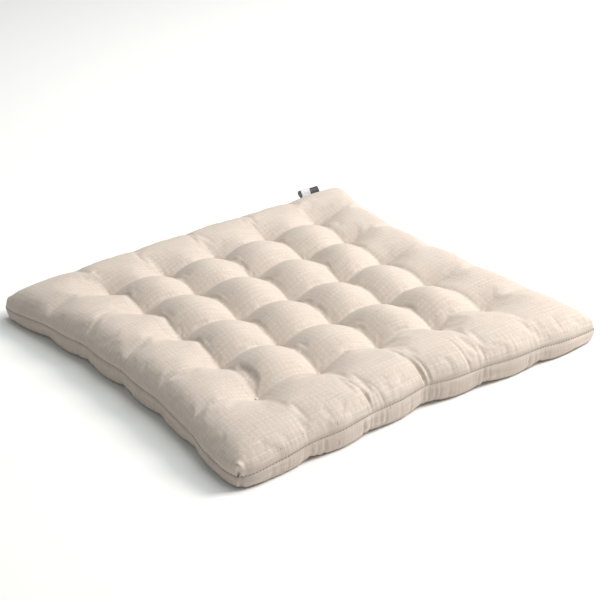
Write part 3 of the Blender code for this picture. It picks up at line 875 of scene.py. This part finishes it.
thread_curve = bpy.data.curves.new("seam_stitches", "CURVE")
thread_curve.dimensions = "3D"
thread_curve.bevel_depth = THREAD_RADIUS
thread_curve.bevel_resolution = 1
spline = thread_curve.splines.new("POLY")
spline.points.add(len(thread_points) - 1)
spline.points.foreach_set("co", np.column_stack([thread_points, np.ones(len(thread_points))]).ravel())
spline.use_cyclic_u = True
seam_stitches = bpy.data.objects.new("seam_stitches", thread_curve)
bpy.context.scene.collection.objects.link(seam_stitches)
select_only(seam_stitches)
bpy.ops.object.convert(target="MESH")
seam_stitches = bpy.context.object
seam_stitches.data.materials.clear()
seam_stitches.data.materials.append(seam_thread_finish)
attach(seam_stitches, "pad")
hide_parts("edge_seam_thread")
print(stitches, "stitches round a seam of", round(run[-1] / MM), "mm")

# %% [markdown]
# ## The ties
# Each tie is a strong thread that goes through the pad and is knotted at both ends, sunk in its
# dimple. It is modelled from a cylinder: its two end faces are extruded and scaled in and out to
# make the knots. One function makes all 25, each with its own mesh.
# %% Tuft ties
TIE_RADIUS = 0.5 * MM
TIE_SUNK = 4 * MM  # how far each knot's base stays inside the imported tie's end
KNOT = ((0.3, 2.3), (0.7, 1.13), (0.6, 0.8), (0.3, 0.45))  # each step's climb in mm and widening


def make_tie(name, low, high):
    """A knotted tie between two heights, at a tuft."""
    middle, length = (low + high) / 2, high.z - low.z - 2 * TIE_SUNK
    select_only()
    bpy.ops.mesh.primitive_cylinder_add(vertices=10, radius=TIE_RADIUS, depth=length, location=middle)
    tie = bpy.context.object
    tie.name = tie.data.name = name
    for end in (1, -1):
        bpy.ops.object.mode_set(mode="EDIT")
        bpy.ops.mesh.select_all(action="DESELECT")
        bpy.ops.object.mode_set(mode="OBJECT")
        for polygon in tie.data.polygons:
            polygon.select = polygon.normal.z * end > 0.9
        bpy.ops.object.mode_set(mode="EDIT")
        for climb, factor in KNOT:
            bpy.ops.mesh.extrude_region_move(TRANSFORM_OT_translate={"value": (0, 0, end * climb * MM)})
            bpy.ops.transform.resize(value=(factor, factor, 1))
        bpy.ops.object.mode_set(mode="OBJECT")
    bpy.ops.object.transform_apply(location=True, rotation=True, scale=True)
    bpy.ops.object.shade_smooth()
    return tie


for name, (low, high) in tie_boxes.items():
    tie = make_tie(f"{name}_thread", low, high)
    tie.data.materials.append(thread_finish)
    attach(tie, "pad")
    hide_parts(name)
print("ties:", len(tie_boxes), "with", len(tie.data.polygons), "faces each")

# %% [markdown]
# ## The labels
# Two tapes are sewn into the back seam near its right-hand end. The care label is a white tape
# folded double into a soft loop, and the tag beside it is a slightly shorter black tape in a flatter
# loop. The ends of both run into the pad, where they are sewn in. Each is drawn edge by edge: a
# first edge across the tape is extruded along the fold, and Solidify gives it its thickness. Each
# stands at its own flap's hinge.
# %% Tapes
TAPE_LEAN = math.radians(48)  # how steeply a tape rises from the seam
TAPE_THICKNESS = 0.35 * MM
TAPE_TAIL = 7 * MM  # how far its ends run into the pad


def fold_path(reach, bulge, steps=20):
    """Side view of a folded tape, as places across it and along it: out, round and back in."""
    widest = 2 / 3 / math.sqrt(3)  # the largest value of cos(turn) * sin(turn) ** 2
    path = [(-TAPE_TAIL, 0.45 * MM), (-3 * MM, 0.45 * MM), (-1.2 * MM, 0.7 * MM)]
    for k in range(1, steps):
        turn = math.pi * k / steps
        out = -math.cos(turn) * (0.4 * MM + bulge / widest * math.sin(turn) ** 2)
        path.append((out, reach * math.sin(turn)))
    path += [(-0.3 * MM, 0.2 * MM), (-1.6 * MM, -0.4 * MM)]
    return path + [(-3.2 * MM, -0.5 * MM), (-TAPE_TAIL, -0.5 * MM)]


def tape_directions(flap):
    """A flap's hinge point and axis, the way its tape rises, and the way square to both."""
    joint = next(j for j in frame["joints"] if j["child"] == flap)
    root, axis = Vector(joint["pos_m"]), Vector(joint["axis"]).normalized()
    outward = axis.cross(Vector((0, 0, -1))).normalized()
    if outward.y < 0:
        outward.negate()
    rise_way = outward * math.cos(TAPE_LEAN) + Vector((0, 0, 1)) * math.sin(TAPE_LEAN)
    rise_way = (rise_way - axis * rise_way.dot(axis)).normalized()
    side_way = axis.cross(rise_way).normalized()
    if side_way.dot(outward) < 0:
        side_way.negate()
    return root, axis, rise_way, side_way


def single_edge(name, low_end, high_end):
    """A mesh that is one selected edge between two points, kept from a plane."""
    select_only()
    bpy.ops.mesh.primitive_plane_add(size=1.0)
    edge = bpy.context.object
    edge.name = edge.data.name = name
    bpy.ops.object.mode_set(mode="EDIT")
    bpy.ops.mesh.select_all(action="SELECT")
    bpy.ops.mesh.delete(type="ONLY_FACE")
    bpy.ops.object.mode_set(mode="OBJECT")
    for side in edge.data.edges:
        side.select = all(edge.data.vertices[k].co.y > 0 for k in side.vertices)
    for vertex in edge.data.vertices:
        vertex.select = vertex.co.y > 0
    bpy.ops.object.mode_set(mode="EDIT")
    bpy.ops.mesh.select_all(action="INVERT")
    bpy.ops.mesh.delete(type="VERT")
    bpy.ops.mesh.select_all(action="SELECT")
    bpy.ops.object.mode_set(mode="OBJECT")
    for vertex in edge.data.vertices:
        vertex.co = high_end if vertex.co.x > 0 else low_end
    return edge


def make_tape(name, node, flap, finish, reach, bulge, width):
    """A folded tape that stands in the seam at its hinge."""
    root, axis, rise_way, side_way = tape_directions(flap)
    path = fold_path(reach, bulge)
    first = root + side_way * path[0][0] + rise_way * path[0][1]
    tape = single_edge(name, first - axis * width / 2, first + axis * width / 2)
    bpy.ops.object.mode_set(mode="EDIT")
    for before, after in zip(path, path[1:]):
        step = side_way * (after[0] - before[0]) + rise_way * (after[1] - before[1])
        bpy.ops.mesh.extrude_region_move(TRANSFORM_OT_translate={"value": tuple(step)})
    bpy.ops.object.mode_set(mode="OBJECT")
    tape.data.materials.append(finish)
    thick = tape.modifiers.new("Thickness", "SOLIDIFY")
    thick.thickness = TAPE_THICKNESS
    thick.offset = 0
    bpy.ops.object.modifier_apply(modifier="Thickness")
    bpy.ops.object.mode_set(mode="EDIT")
    bpy.ops.mesh.select_all(action="SELECT")
    bpy.ops.mesh.normals_make_consistent(inside=False)
    bpy.ops.object.mode_set(mode="OBJECT")
    bpy.ops.object.shade_smooth_by_angle(angle=math.radians(35))
    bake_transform(tape)
    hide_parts(node)
    print(name, "faces", len(tape.data.polygons), "hinge", [round(c / MM, 1) for c in root])
    return tape


care_size = {"reach": 15 * MM, "bulge": 3.6 * MM, "width": 11.5 * MM}
tag_size = {"reach": 14 * MM, "bulge": 2.2 * MM, "width": 12 * MM}
care_tape = make_tape("care_label_tape", "care_label", "care_label_flap", white_tape, **care_size)
tag_tape = make_tape("seam_tag_tape", "seam_tag", "seam_tag_flap", black_tape, **tag_size)
